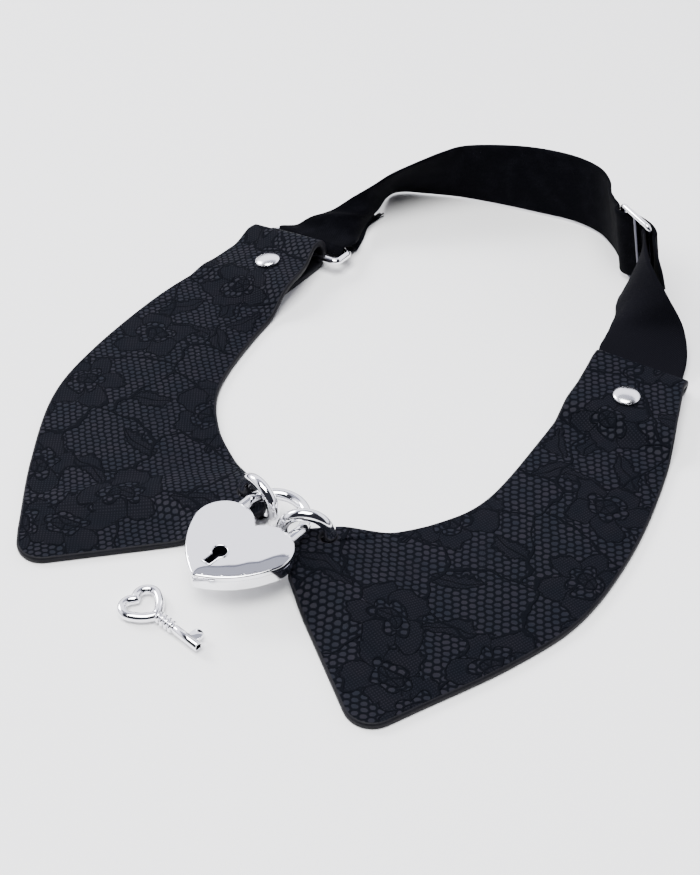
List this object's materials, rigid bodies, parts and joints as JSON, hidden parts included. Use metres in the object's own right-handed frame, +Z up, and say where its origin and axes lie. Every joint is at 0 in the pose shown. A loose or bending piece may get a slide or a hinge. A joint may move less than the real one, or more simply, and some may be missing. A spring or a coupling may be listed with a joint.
{
  "type": "lace collar choker",
  "caption": "Stiff black collar choker faced with floral lace, laid flat, with riveted tabs, a velvet strap with a slider, and a heart padlock through its front rings, with its key.",
  "frame": {"origin": "centre of the footprint, on the table the choker lies on", "axes": "+X towards the right panel, +Y from the front corners to the back of the neck, +Z up from the table"},
  "size_m": [0.1742, 0.22, 0.0296],
  "materials": {
    "panel_right": "matt black, faced with black floral lace",
    "panel_left": "matt black, faced with black floral lace",
    "strap_long": "black velvety woven strap",
    "strap_short": "black velvety woven strap",
    "padlock_body": "polished",
    "padlock_shackle": "polished",
    "round_ring_right": "polished",
    "round_ring_left": "polished",
    "side_ring_left": "polished",
    "slider": "polished",
    "rivet_right": "polished",
    "rivet_left": "polished",
    "key": "polished"
  },
  "bodies": {
    "root": {"panel_right": "panel_right", "panel_left": "panel_left", "strap_long": "strap_long", "strap_short": "strap_short", "padlock_body": "padlock_body", "padlock_shackle": "padlock_shackle", "round_ring_right": "round_ring_right", "round_ring_left": "round_ring_left", "side_ring_left": "side_ring_left", "slider": "slider", "rivet_right": "rivet_right", "rivet_left": "rivet_left", "key": "key"}
  },
  "joints": []
}
